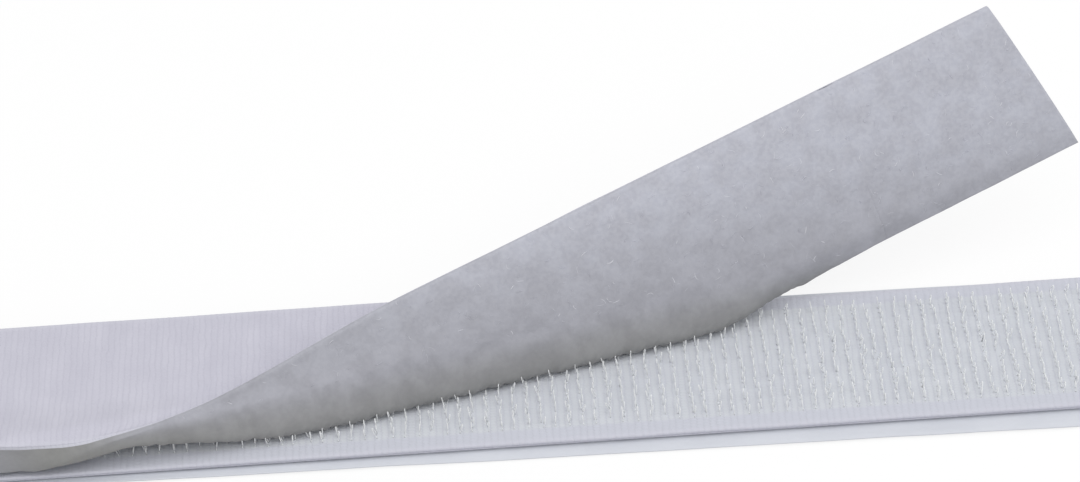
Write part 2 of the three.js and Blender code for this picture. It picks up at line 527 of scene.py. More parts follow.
class Graph:
    """Short calls that fill a shader node tree."""

    def __init__(self, tree: Tree) -> None:
        """Takes the tree to fill."""
        self.tree = tree

    def node(self, kind: str, inputs: dict[Any, Any] | None = None, **settings: Any) -> Node:
        """Adds a node.

        Args:
            kind: Blender's name of the node, without its first word.
            inputs: A value or a socket to link for each input.
            **settings: Other properties of the node.

        Returns:
            The new node.
        """
        made = self.tree.nodes.new("ShaderNode" + kind)
        for key, value in settings.items():
            setattr(made, key, value)
        for key, value in (inputs or {}).items():
            if isinstance(value, Socket):
                self.tree.links.new(value, made.inputs[key])
            else:
                made.inputs[key].default_value = value
        return made

    def math(self, operation: str, a: Any, b: Any = 0.0, clamp: bool = False) -> Socket:
        """Adds a Math node and returns its value."""
        return self.node("Math", {0: a, 1: b}, operation=operation, use_clamp=clamp).outputs[0]

    def mix(self, share: Any, first: Any, second: Any) -> Socket:
        """Mixes two colours and returns the colour."""
        return self.node("Mix", {0: share, 6: first, 7: second}, data_type="RGBA").outputs[2]

    def tint(self, colour: Any, mask: Socket, share: float, tint: Any) -> Socket:
        """Mixes a share of a tint into a colour, where a mask says, and returns the colour."""
        return self.mix(self.math("MULTIPLY", mask, share), colour, tint)

    def scale(self, vector: Any, share: Any) -> Socket:
        """Scales a colour or a place by a value and returns it."""
        return self.node("VectorMath", {0: vector, "Scale": share}, operation="SCALE").outputs[0]

    def ease(self, value: Any, low: float, high: float, to: Range = (0, 1)) -> Socket:
        """Eases a value from one range into another and returns it."""
        inputs = {0: value, 1: low, 2: high, 3: to[0], 4: to[1]}
        return self.node("MapRange", inputs, interpolation_type="SMOOTHSTEP").outputs[0]

    def noise(self, vector: Any, scale: Any, detail: float = 2.0) -> Socket:
        """Adds a Noise Texture and returns its value."""
        inputs = {"Vector": vector, "Scale": scale, "Detail": detail}
        return self.node("TexNoise", inputs).outputs[0]

    def tape(self) -> Socket:
        """Gives the place on the flat tape, in millimetres."""
        return self.node("UVMap", uv_map=TAPE_MAP).outputs[0]

    def spot(self) -> Socket:
        """Gives the place in the part's frame, in millimetres."""
        return self.scale(self.node("TexCoord").outputs["Object"], 1 / MM)

    def island(self) -> Socket:
        """Gives each separate filament a random value of its own."""
        return self.node("NewGeometry").outputs["Random Per Island"]

    def group(self, tree: Tree, **inputs: Any) -> Node:
        """Places a shared node group, with its inputs by name."""
        named = {key.replace("_", " "): value for key, value in inputs.items()}
        return self.node("Group", named, node_tree=tree)


class SharedEffects:
    """The shader node groups that several finishes use."""

    # Scale of the noise that the ribs drift by, and how far they drift
    DRIFT_SCALE, DRIFT = 0.5, 0.5
    # Shares of the ribs and of the threads in the height of the weave
    RIB_SHARE, THREAD_SHARE = 0.65, 0.35
    # Detail of each noise, and the range of it that is kept
    CLOUD_DETAIL = {"Cloud": 3.0, "Fleck": 2.0}
    CLOUD_RANGE = (0.3, 0.7)
    # Scale of the noise that an edge band's inner limit wanders by
    BAND_SCALE = 0.9
    # Distances past the contact line over which the painted shade on the loops fades up the flap
    OPENED = (2.0, 17.5)
    # Distances past the contact line over which the darkest painted shade, at the peel, grows and ends,
    # and its share ahead of the peel
    DEEP_FROM, DEEP_TO = (-1.0, 1.2), (1.2, 4.1)
    DEEP_AHEAD = 0.3

    def __init__(self, fold: PeelFold) -> None:
        """Builds each group once.

        Args:
            fold: The peel, which the loops are drawn out along.
        """
        self.weave = self._weave()
        self.clouds = self._clouds()
        self.edge = self._edge()
        # Painted shade on the loops towards the peel
        self.peel = self._peel(fold)

    @staticmethod
    def _start(name: str, **inputs: float) -> tuple[Graph, dict[str, Socket]]:
        """Starts a group that takes the place on the tape and some numbers.

        Args:
            name: Name of the group.
            **inputs: Default of each number.

        Returns:
            The graph, and the sockets of the inputs by name.
        """
        tree = bpy.data.node_groups.new(name, "ShaderNodeTree")
        tree.interface.new_socket("Tape", in_out="INPUT", socket_type="NodeSocketVector")
        for key, value in inputs.items():
            label = key.replace("_", " ")
            socket = tree.interface.new_socket(label, in_out="INPUT", socket_type="NodeSocketFloat")
            socket.default_value = value
        given = tree.nodes.new("NodeGroupInput").outputs
        return Graph(tree), {key: given[key.replace("_", " ")] for key in ("Tape", *inputs)}

    @staticmethod
    def _close(g: Graph, **outputs: Socket) -> Tree:
        """Gives a group its outputs.

        Args:
            g: Graph of the group.
            **outputs: The socket that each output puts out.

        Returns:
            The finished group.
        """
        for key in outputs:
            g.tree.interface.new_socket(key, in_out="OUTPUT", socket_type="NodeSocketFloat")
        gives = g.tree.nodes.new("NodeGroupOutput")
        for key, socket in outputs.items():
            g.tree.links.new(socket, gives.inputs[key])
        return g.tree

    def _weave(self) -> Tree:
        """Makes a narrow plain weave: crosswise ribs, crossed by lengthwise threads.

        Returns:
            The group.
        """
        g, given = self._start("Narrow weave", Rib_Pitch=0.68, Thread_Pitch=0.42)
        along, across, _ = g.node("SeparateXYZ", {0: given["Tape"]}).outputs
        drift = g.math("MULTIPLY", g.noise(given["Tape"], self.DRIFT_SCALE), self.DRIFT)
        ribs = g.math("DIVIDE", g.math("ADD", along, drift), given["Rib_Pitch"])
        threads = g.math("DIVIDE", across, given["Thread_Pitch"])
        rib = g.math("ABSOLUTE", g.math("SINE", g.math("MULTIPLY", ribs, math.pi)))
        step = g.math("MULTIPLY", g.math("FLOOR", ribs), math.pi)
        turn = g.math("ADD", g.math("MULTIPLY", threads, 2 * math.pi), step)
        thread = g.math("ADD", g.math("MULTIPLY", g.math("SINE", turn), 0.5), 0.5)
        woven = (g.math("MULTIPLY", rib, self.RIB_SHARE), g.math("MULTIPLY", thread, self.THREAD_SHARE))
        return self._close(g, Height=g.math("ADD", *woven))

    def _clouds(self) -> Tree:
        """Makes soft clouds and fine flecks of fibre.

        Returns:
            The group.
        """
        g, given = self._start("Fibre clouds", Cloud_Size=4.0, Fleck_Size=0.4)
        found = {}
        for key, detail in self.CLOUD_DETAIL.items():
            scale = g.math("DIVIDE", 1.0, given[key + "_Size"])
            found[key] = g.ease(g.noise(given["Tape"], scale, detail), *self.CLOUD_RANGE)
        return self._close(g, **found)

    def _edge(self) -> Tree:
        """Makes a band along both long edges, with an uneven inner limit.

        Returns:
            The group.
        """
        g, given = self._start("Edge band", Half_Width=10.0, Band=0.6)
        across = g.node("SeparateXYZ", {0: given["Tape"]}).outputs[1]
        wander = g.math("MULTIPLY", g.noise(given["Tape"], self.BAND_SCALE), given["Band"])
        out = g.math("ADD", g.math("ABSOLUTE", across), wander)
        inner = g.math("SUBTRACT", given["Half_Width"], given["Band"])
        share = g.math("DIVIDE", g.math("SUBTRACT", out, inner), given["Band"], clamp=True)
        return self._close(g, Mask=share)

    def _peel(self, fold: PeelFold) -> Tree:
        """Marks painted shade on the loops: one that fades up the flap from the peel, and a darker one at
        the peel itself.

        Args:
            fold: The peel.

        Returns:
            The group.
        """
        g, given = self._start("Peel line")
        across = {0: given["Tape"], 1: (*fold.across, 0.0)}
        along = g.node("VectorMath", across, operation="DOT_PRODUCT")
        past = g.math("SUBTRACT", along.outputs["Value"], fold.contact)
        ahead = g.ease(past, *self.DEEP_FROM, (self.DEEP_AHEAD, 1.0))
        deep = g.math("MULTIPLY", ahead, g.ease(past, *self.DEEP_TO, (1.0, 0.0)))
        return self._close(g, Opened=g.ease(past, *self.OPENED, (1.0, 0.0)), Deep=deep)


@dataclass(frozen=True)
class Finish:
    """A finish with one main and one lesser colour, uneven in clouds and flecks.

    Attributes:
        name: Name of the material.
        colour: Main colour, as it shows under plain light.
        shade: Colour of its darker places, and in a weave of the painted shade in its low places.
        roughness: Mean roughness.
        sheen: Weight of the soft sheen of fibres.
        specular: Specular level.
    """

    name: str
    colour: Colour
    shade: Colour
    roughness: float
    sheen: float = 0.0
    specular: float = 0.3

    SHEEN_ROUGHNESS = 0.6
    # Other plain values of the shader
    PLAIN = ()
    # Sizes of the clouds and of the flecks
    CLOUDS = (5.0, 0.3)
    # How far the roughness goes below and above its mean
    SPREAD = (0.06, 0.06)
    # Depth of the fine relief, in metres
    RELIEF = 0.00001

    def space(self, g: Graph) -> Socket:
        """Gives the space that the clouds lie in."""
        return g.tape()

    def pattern(self, g: Graph, effects: SharedEffects, clouds: Node) -> Pattern:
        """Lays the darker colour in clouds over the main one."""
        fleck = clouds.outputs["Fleck"]
        return g.mix(clouds.outputs["Cloud"], linear(self.colour), linear(self.shade)), fleck, fleck

    def build(self, effects: SharedEffects) -> Material:
        """Builds the material from the shared groups.

        Args:
            effects: The shared node groups.

        Returns:
            The material.
        """
        material = bpy.data.materials.new(self.name)
        material.use_nodes = True
        g = Graph(material.node_tree)
        shader = g.tree.nodes["Principled BSDF"]
        shader.inputs["Specular IOR Level"].default_value = self.specular
        shader.inputs["Sheen Weight"].default_value = self.sheen
        shader.inputs["Sheen Roughness"].default_value = self.SHEEN_ROUGHNESS
        for key, value in self.PLAIN:
            shader.inputs[key].default_value = value
        cloud, fleck = self.CLOUDS
        clouds = g.group(effects.clouds, Tape=self.space(g), Cloud_Size=cloud, Fleck_Size=fleck)
        colour, follows, height = self.pattern(g, effects, clouds)
        less, more = self.SPREAD
        rough = g.ease(follows, 0.0, 1.0, (self.roughness - less, self.roughness + more))
        bump = g.node("Bump", {"Strength": 1.0, "Distance": self.RELIEF, "Height": height})
        g.tree.links.new(colour, shader.inputs["Base Color"])
        g.tree.links.new(rough, shader.inputs["Roughness"])
        g.tree.links.new(bump.outputs[0], shader.inputs["Normal"])
        return material


@dataclass(frozen=True)
class WovenFinish(Finish):
    """Woven yarn, or the thin binder over it, with the weave showing.

    Attributes:
        rib_pitch: Distance between the crosswise ribs.
        field: Colour between the selvedges, where that differs.
        worn: Share of the darker colour in its patches and streaks.
    """

    rib_pitch: float = 0.68
    field: Colour | None = None
    worn: float = 0.2

    RELIEF = 0.00004
    THREAD_PITCH = 0.42
    # Heights of the weave between which the painted shade in its low places ends, and its share there
    LOW, LOW_SHARE = (0.15, 0.6), 0.6
    # Half widths of the tape and of the field between its selvedges, and how soft their limits are
    HALF_WIDTH, EDGE_BAND = 10.0, 0.5
    FIELD_HALF, FIELD_BAND = 8.4, 0.4
    # Colour of the pressed long edges, and its share there
    EDGE, EDGE_SHARE = (205, 205, 216), 0.6
    # Makes patches of tone long across the tape, as single picks are
    STREAK = (1.0, 0.15, 1.0)
    STREAK_SIZE = 1.4
    # Share of the flecks in the fine relief
    FLECK_SHARE = 0.25

    def pattern(self, g: Graph, effects: SharedEffects, clouds: Node) -> Pattern:
        """Weaves the ribs and threads, paints shade into their low places and wears them in patches and
        streaks.

        Args:
            g: Graph of the material.
            effects: The shared node groups.
            clouds: Clouds and flecks of this finish.

        Returns:
            The colour, what the roughness follows, and the height of the fine relief.
        """
        tape, shade, fleck = g.tape(), linear(self.shade), clouds.outputs["Fleck"]
        weave = g.group(
            effects.weave, Tape=tape, Rib_Pitch=self.rib_pitch, Thread_Pitch=self.THREAD_PITCH
        ).outputs["Height"]
        main: Any = linear(self.colour)
        if self.field is not None:
            limits = {"Half_Width": self.FIELD_HALF, "Band": self.FIELD_BAND}
            selvedge = g.group(effects.edge, Tape=tape, **limits).outputs["Mask"]
            main = g.mix(selvedge, linear(self.field), main)
        # Painted shade in the low places of the weave
        colour = g.mix(g.ease(weave, *self.LOW, (self.LOW_SHARE, 0.0)), main, shade)
        long = g.node("VectorMath", {0: tape, 1: self.STREAK}, operation="MULTIPLY").outputs[0]
        streaks = g.group(effects.clouds, Tape=long, Cloud_Size=self.STREAK_SIZE)
        for patches in (clouds, streaks):
            colour = g.tint(colour, patches.outputs["Cloud"], self.worn, shade)
        pressed = g.group(effects.edge, Tape=tape, Half_Width=self.HALF_WIDTH, Band=self.EDGE_BAND)
        colour = g.tint(colour, pressed.outputs["Mask"], self.EDGE_SHARE, linear(self.EDGE))
        return colour, fleck, g.math("ADD", weave, g.math("MULTIPLY", fleck, self.FLECK_SHARE))


@dataclass(frozen=True)
class NapFinish(Finish):
    """The brushed face of loops: soft clouds, with painted highlights on the crests of single loops and
    painted shade towards the peel.

    Attributes:
        crest: Colour of the painted highlights on the loops' crests, the lightest fibres.
        opened: Colour of the painted shade that darkens the loops from the peel up the flap.
        deep: Colour of the darker painted shade at the peel itself and ahead of it.
        single: Whether each fibre has a tone of its own, the lightest with a painted highlight.
    """

    crest: Colour = (226, 227, 233)
    opened: Colour = (160, 160, 167)
    deep: Colour = (134, 134, 130)
    single: bool = False

    CLOUDS = (2.6, 0.5)
    SPREAD = (0.05, 0.05)
    # Share of the painted shade colours at their strongest
    TINT_SHARE = 0.8
    # Least and most that the clouds and the flecks scale the painted shade colours by
    MOTTLE = {"Cloud": (0.94, 1.06), "Fleck": (0.98, 1.02)}
    # Share of the crests' painted highlight colour in the flecks
    CREST_SHARE = 0.18
    # Random tones between which single fibres grow lighter with the painted highlight, and its share in
    # the lightest
    LIGHT, LIGHT_SHARE = (0.7, 1.0), 0.8

    def space(self, g: Graph) -> Socket:
        """Gives the space that the clouds lie in, which is not drawn out with the loops."""
        return g.spot()

    def pattern(self, g: Graph, effects: SharedEffects, clouds: Node) -> Pattern:
        """Clouds the loops, paints shade over them towards the peel and paints highlights on their crests.

        Args:
            g: Graph of the material.
            effects: The shared node groups.
            clouds: Clouds and flecks of this finish.

        Returns:
            The colour, what the roughness follows, and the height of the fine relief.
        """
        crest, fleck = linear(self.crest), clouds.outputs["Fleck"]
        colour = g.mix(clouds.outputs["Cloud"], linear(self.shade), linear(self.colour))
        # Painted highlights: random flecks lightened towards the crests' colour
        if not self.single:
            colour = g.tint(colour, fleck, self.CREST_SHARE, crest)
        mottle = [g.ease(clouds.outputs[key], 0.0, 1.0, to) for key, to in self.MOTTLE.items()]
        # Painted shade: darkens the loops from the peel up the flap, and most at the peel itself
        peel = g.group(effects.peel, Tape=g.tape())
        for key, tint in (("Opened", self.opened), ("Deep", self.deep)):
            patchy: Any = linear(tint)[:3]
            for share in mottle:
                patchy = g.scale(patchy, share)
            colour = g.tint(colour, peel.outputs[key], self.TINT_SHARE, patchy)
        # Painted highlights: some single fibres lightened towards the crests' colour
        if self.single:
            light = g.ease(g.island(), *self.LIGHT, (0.0, self.LIGHT_SHARE))
            colour = g.mix(light, colour, crest)
        return colour, fleck, fleck


@dataclass(frozen=True)
class FilamentFinish(Finish):
    """Drawn nylon filament, a little uneven in tone from hook to hook."""

    PLAIN = (
        ("Subsurface Weight", 0.8), ("Subsurface Scale", 0.0004), ("Subsurface Radius", (1.0, 1.0, 1.0)),
    )
    CLOUDS = (7.0, 0.5)
    SPREAD = (0.08, 0.08)
    RELIEF = 0.000008
    GRAIN_SCALE = 9.0

    def pattern(self, g: Graph, effects: SharedEffects, clouds: Node) -> Pattern:
        """Gives each filament its tone and a fine grain.

        Args:
            g: Graph of the material.
            effects: The shared node groups.
            clouds: Clouds and flecks of this finish.

        Returns:
            The colour, what the roughness follows, and the height of the fine relief.
        """
        tone = g.island()
        share = g.math("MULTIPLY", g.math("ADD", tone, clouds.outputs["Cloud"]), 0.5)
        colour = g.mix(share, linear(self.shade), linear(self.colour))
        return colour, tone, g.noise(g.spot(), self.GRAIN_SCALE)


@dataclass(frozen=True)
class PaperFinish(Finish):
    """Smooth release paper with faint fibres and a duller rim."""

    CLOUDS = (9.0, 0.7)
    SPREAD = (0.05, 0.1)
    # Half width of the paper and width of its rim
    HALF_WIDTH, RIM = 11.5, 0.35
    # Shares of the darker colour in the clouds and in the rim
    CLOUD_SHARE, RIM_SHARE = 0.6, 0.5

    def pattern(self, g: Graph, effects: SharedEffects, clouds: Node) -> Pattern:
        """Lays faint clouds and the rim over the paper.

        Args:
            g: Graph of the material.
            effects: The shared node groups.
            clouds: Clouds and flecks of this finish.

        Returns:
            The colour, what the roughness follows, and the height of the fine relief.
        """
        shade, fleck = linear(self.shade), clouds.outputs["Fleck"]
        rim = g.group(effects.edge, Tape=g.tape(), Half_Width=self.HALF_WIDTH, Band=self.RIM)
        colour = g.tint(linear(self.colour), clouds.outputs["Cloud"], self.CLOUD_SHARE, shade)
        return g.tint(colour, rim.outputs["Mask"], self.RIM_SHARE, shade), fleck, fleck


@dataclass(frozen=True)
class AdhesiveFinish(Finish):
    """Soft pressure adhesive, smooth and faintly mottled."""

    CLOUDS = (2.5, 0.9)
    SPREAD = (0.08, 0.12)
    RELIEF = 0.00003


# Painted shade: the second colour of each woven finish also darkens the low places of its weave
LOOP_BACK = WovenFinish("Loop back binder", (204, 203, 215), (191, 190, 203), 0.62, 0.05, worn=0.4)
LOOP_GROUND = WovenFinish("Loop ground yarn", (200, 201, 210), (188, 189, 198), 0.85, 0.1)
HOOK_BACK = WovenFinish("Hook back binder", (196, 196, 206), (176, 176, 186), 0.62, 0.05)
HOOK_GROUND = WovenFinish(
    "Hook ground yarn", (203, 205, 215), (197, 199, 209), 0.82, 0.1, field=(212, 215, 220),
    rib_pitch=0.75,
)
# Painted shade and highlights: the two darker colours of the nap and the fibres darken the loops towards
# the peel; their lightest colours are painted highlights
NAP = NapFinish("Brushed loops", (190, 192, 203), (181, 182, 192), 0.95, 0.1)
FIBRE = NapFinish(
    "Loop fibre", (203, 205, 216), (194, 195, 205), 0.8, 0.1, crest=(230, 231, 236),
    opened=(174, 175, 182), deep=(152, 152, 149), single=True,
)
FILAMENT = FilamentFinish("Hook filament", (239, 242, 243), (232, 235, 237), 0.65, 0.0, 0.15)
LINER_PAPER = PaperFinish("Release paper", (216, 219, 226), (207, 210, 218), 0.42, 0.0, 0.4)
ADHESIVE = AdhesiveFinish("Adhesive", (206, 206, 202), (188, 188, 183), 0.3, 0.0, 0.5)


# Pieces


def laid_out(node: str) -> tuple[float, float, float]:
    """Measures a flat rectangular node that may lie askew.

    Args:
        node: Name of the CAD node.

    Returns:
        Half of its length, half of its width, and its turn from the X axis in radians.
    """
    plan = corners(node)[:, :2]
    across, along = np.linalg.eigh(np.cov((plan - plan.mean(axis=0)).T))[1].T
    along = along * np.sign(along[0])
    length, width = (np.ptp(plan @ axis) for axis in (along, across))
    return length / 2, width / 2, math.atan2(along[1], along[0])


def dress(piece: Piece, finish: Material, slot: str, *nodes: str) -> Piece:
    """Gives a piece its finish and hides the CAD nodes that it replaces.

    Args:
        piece: The piece.
        finish: Its material.
        slot: The record's material slot; not used.
        *nodes: CAD nodes that it replaces.

    Returns:
        The same piece.
    """
    piece.data.materials.append(finish)
    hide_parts(*nodes)
    log.info("%s: %d faces", piece.name, len(piece.data.polygons))
    return piece


@dataclass
class HookStrip:
    """The lower strip: release liner, adhesive, coated woven ground and rows of hooks.

    Attributes:
        margin: Width of the liner's bare margins.
        margin_lift: How far the margins lift on average.
        film_wander: How far the edges of the adhesive wander.
        coat_inset: How far in from the ground's edges the back coat ends.
        coat_bite: How far the back coat reaches into the ground.
        station: Distance between the rings of the woven ground.
        rib_pitch: Distance between its crosswise ribs.
        rib_depth: Height of a rib.
        rib_sink: How far the ribs start below the top of the web.
        row_pitch: Distance between the crosswise rows of hooks.
        row_lean: How far a row runs along the tape for each millimetre across it.
        row_ends: Length of a band without hooks, at both ends together.
        hooks_in_band: Hooks of one row in each band.
        filament: Radius of a filament.
        root: How deep the hooks are rooted in the ground.
        headroom: How far the tallest hooks end below the top of their band.
        seed: Seed of all that is random.
    """

    margin: float = 1.8
    margin_lift: float = 0.12
    film_wander: float = 0.12
    coat_inset: float = 0.03
    coat_bite: float = 0.02
    station: float = 0.1875
    rib_pitch: float = 0.75
    rib_depth: float = 0.03
    rib_sink: float = 0.02
    row_pitch: float = 1.5
    row_lean: float = -0.03
    row_ends: float = 1.2
    hooks_in_band: int = 5
    filament: float = 0.06
    root: float = 0.03
    headroom: float = 0.06
    seed: int = 11

    BANDS = 4
    SIDES = 6
    # Rings of the plain layers, and of the film with its finer edges
    RINGS, FILM_RINGS = 151, 301
    # Share of the hooks that are missing, and how far the others stray along and across
    MISSING = 0.07
    STRAY_ALONG, STRAY_ACROSS = 0.1, 0.04
    # Reach of a hook in shares of its room, its height in shares of the band's, and its lean
    REACH = (0.68, 0.88)
    TALL = (0.76, 1.0)
    LEAN = 0.14
    # Radius of a filament's cut tip, in shares of its own
    TIP = 0.8
    # A hook from its root over its crown to its cut tip, in shares of its reach and its height
    HOOK = (
        (0.0, 0.0), (0.0, 0.32), (0.0, 0.56), (0.05, 0.76), (0.19, 0.91), (0.42, 0.985),
        (0.66, 0.95), (0.86, 0.82), (0.97, 0.64), (1.0, 0.48), (0.97, 0.36),
    )
    # The stub that the cut leaves of the hook's other leg
    STUB = ((1.0, 0.0), (1.0, 0.12), (0.99, 0.24))

    def build(self, effects: SharedEffects) -> dict[str, Piece]:
        """Builds and dresses the strip's pieces.

        Args:
            effects: The shared node groups.

        Returns:
            The pieces by name.
        """
        back, filament = HOOK_BACK.build(effects), FILAMENT.build(effects)
        made = [
            dress(self.liner(), LINER_PAPER.build(effects), "liner_paper", "release_liner"),
            dress(self.adhesive(), ADHESIVE.build(effects), "adhesive", "adhesive_layer"),
            dress(self.coat(), back, "back_coating", "hook_coating"),
            dress(self.ground(), HOOK_GROUND.build(effects), "hook_web", "hook_web"),
        ]
        for number in range(1, self.BANDS + 1):
            node = f"hook_band_{number}"
            made.append(dress(self.rows(number, node), filament, "hook_filament", node))
        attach(made[0], "liner")
        for piece in made[1:]:
            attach(piece, "hook_strip")
        return {piece.name: piece for piece in made}

    @staticmethod
    def _span(node: str) -> tuple[Array, Array]:
        """Gives a node's lowest and highest corner in millimetres."""
        low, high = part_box(node)
        return np.array(low) / MM, np.array(high) / MM

    def liner(self) -> Piece:
        """Makes the release paper, laid a little askew, with its bare margins lifting slightly.

        Returns:
            The new object.
        """
        low, high = self._span("release_liner")
        half_length, half_width, skew = laid_out("release_liner")
        section = Section(half_width, low[2], high[2], edge=0.1, upper=47, lower=47)
        grid = section.grid(np.linspace(-half_length, half_length, self.RINGS))
        margin = ease(np.abs(grid.v), half_width - self.margin, half_width)
        up = self.margin_lift * margin * (1 + EdgeCourse(self.seed, along=17.0)(grid.u, grid.v))
        out = EdgeCourse(self.seed + 1, along=6.0).wander(grid, half_width, self.margin)
        x = grid.u * math.cos(skew) - out * math.sin(skew)
        y = grid.u * math.sin(skew) + out * math.cos(skew)
        return grid.skin("release_paper", np.stack([x, y, grid.h + up], axis=-1))

    def adhesive(self) -> Piece:
        """Makes the adhesive film, whose long edges wander a little.

        Returns:
            The new object.
        """
        low, high = self._span("adhesive_layer")
        section = Section(high[1], low[2], high[2], edge=0.12, upper=25, lower=25)
        grid = section.grid(np.linspace(low[0], high[0], self.FILM_RINGS))
        out = EdgeCourse(self.seed + 2, along=1.7).wander(grid, high[1], most=self.film_wander)
        return grid.skin("adhesive_film", np.stack([grid.u, out, grid.h], axis=-1))

    def coat(self) -> Piece:
        """Makes the binder on the back of the hook ground.

        Returns:
            The new object.
        """
        low, high = self._span("hook_coating")
        half_width, top = high[1] - self.coat_inset, high[2] + self.coat_bite
        section = Section(half_width, low[2], top, edge=0.08, upper=21, lower=21)
        grid = section.grid(np.linspace(low[0], high[0], self.RINGS))
        return grid.skin("hook_back_coat", np.stack([grid.u, grid.v, grid.h], axis=-1))

    def ground(self) -> Piece:
        """Makes the woven ground with its ribs and its smoother selvedges.

        Returns:
            The new object.
        """
        low, high = self._span("hook_web")
        section = Section(high[1], low[2], high[2], edge=0.22, upper=45, lower=15)
        count = int(round((high[0] - low[0]) / self.station)) + 1
        grid = section.grid(np.linspace(low[0], high[0], count))
        ribs = Ribs(
            self.seed + 3, self.rib_pitch, drift=0.12, drift_size=(4.0, 2.5), uneven=0.3,
            uneven_across=3.0, lean=self.row_lean,
        )
        out = EdgeCourse(self.seed + 5, along=5.0).wander(grid, high[1])
        raised = np.clip(grid.side, 0, 1) * self.rib_depth * ribs.height(grid) - self.rib_sink
        return grid.skin("hook_ground_cloth", np.stack([grid.u, out, grid.h + raised], axis=-1))

    def rows(self, number: int, node: str) -> Piece:
        """Makes the hooks of one band.

        Args:
            number: Number of the band, from one.
            node: The CAD node of the band.

        Returns:
            The new object.
        """
        low, high = self._span(node)
        foot = self._span("hook_web")[1][2] - self.root
        rng = np.random.default_rng(self.seed * 100 + number)
        pitch = (high[1] - low[1]) / self.hooks_in_band
        count = int((high[0] - low[0] - self.row_ends) / self.row_pitch)
        places = np.meshgrid(np.arange(count), np.arange(self.hooks_in_band), indexing="ij")
        row, column = (axis.ravel() for axis in places)
        kept = rng.random(row.size) > self.MISSING
        row, column = row[kept], column[kept]
        y = low[1] + (column + 0.5) * pitch + rng.normal(0, self.STRAY_ACROSS, row.size)
        x = (row - (count - 1) / 2) * self.row_pitch + self.row_lean * y
        x += rng.normal(0, self.STRAY_ALONG, row.size)
        facing = np.where((column + number) % 2 == 0, 1.0, -1.0)
        reach = pitch * rng.uniform(*self.REACH, row.size)
        most = high[2] - self.headroom - self.filament - foot
        tall = most * rng.uniform(*self.TALL, row.size)
        lean = rng.normal(0, self.LEAN, row.size)
        legs = []
        for outline in (self.HOOK, self.STUB):
            share = np.array(outline)
            side = facing[:, None] * (share[:, 0] - 0.5) * reach[:, None]
            up = share[:, 1] * tall[:, None]
            ahead = x[:, None] + lean[:, None] * up
            legs.append(np.stack([ahead, y[:, None] + side, foot + up], axis=-1))
        hooks = self._filaments(node.replace("band", "rows"), legs[0])
        self._join(hooks, self._filaments("stub", legs[1]))
        return hooks

    def _filaments(self, name: str, paths: Array) -> Piece:
        """Makes filaments of the strip's own thickness.

        Args:
            name: Name of the piece.
            paths: Points of each filament, as filaments by points by 3.

        Returns:
            The new object.
        """
        radii = np.full(paths.shape[:2], self.filament)
        radii[:, -1] *= self.TIP
        ahead = np.array([1.0, 0.0, 0.0])
        return strands(name, paths, radii, self.SIDES, ahead, paths[:, 0, :2])

    @staticmethod
    def _join(piece: Piece, other: Piece) -> None:
        """Joins another object into a piece."""
        both = [piece, other]
        with bpy.context.temp_override(
            active_object=piece, object=piece, selected_objects=both, selected_editable_objects=both
        ):
            bpy.ops.object.join()


class LoopPart(Enum):
    """The two stretches that the loop strip is made in, one for each joint that it crosses."""

    PEEL = "peel"
    FREE_END = "free_end"


@dataclass(frozen=True)
class DrawnLoops:
    """The loops that the hooks draw out into the corner between the flap and the hook strip.

    Attributes:
        fold: The peel.
        half_width: Half of the strip's width.
        catch: Depth under the closed strip's face at which the hooks catch the loops.
        flap: Depth under the flap's face next to the corner.
        behind: How far behind the contact line the loops are drawn down.
        beyond: Over what length of the flap they sink back to the even pile.
        near_taper: Width over which the corner fills, from the near edge.
        far_taper: Width over which it fills fully, from the far edge.
        far_share: How full it is at the far edge.
        roundness: How sharp the corner is: more is sharper.
    """

    fold: PeelFold
    half_width: float
    catch: float
    flap: float = 1.4
    behind: float = 2.0
    beyond: float = 9.0
    near_taper: float = 6.5
    far_taper: float = 3.0
    far_share: float = 0.3
    roundness: float = 9.0

    # Least cosine of a turn, which keeps the corner's arms finite
    LEAST = 0.05

    def deepen(self, u: Array, v: Array, even: Array) -> Array:
        """Adds the drawn loops to the even pile.

        Args:
            u: Places along the strip.
            v: Places across it.
            even: Depth of the even pile there.

        Returns:
            The depth of the pile.
        """
        past, turn = self.fold.past(u, v), self.fold.turn(u, v)
        radius, length = self.fold.radius, self.fold.length
        flap = self.flap + (even - self.flap) * ease(past, length, length + self.beyond)
        under = (radius + self.catch) / np.maximum(np.cos(turn), self.LEAST)
        before = (radius + flap) / np.maximum(np.cos(self.fold.angle - turn), self.LEAST)
        arm = (under**-self.roundness + before**-self.roundness) ** (-1 / self.roundness)
        full = np.where(past < length, arm - radius, flap)
        share = ease(past, -self.behind, 0)
        share = share * ease(v, -self.half_width, self.near_taper - self.half_width)
        from_far = ease(-v, -self.half_width, self.far_taper - self.half_width)
        share = share * (self.far_share + (1 - self.far_share) * from_far)
        return even + share * (full - even)


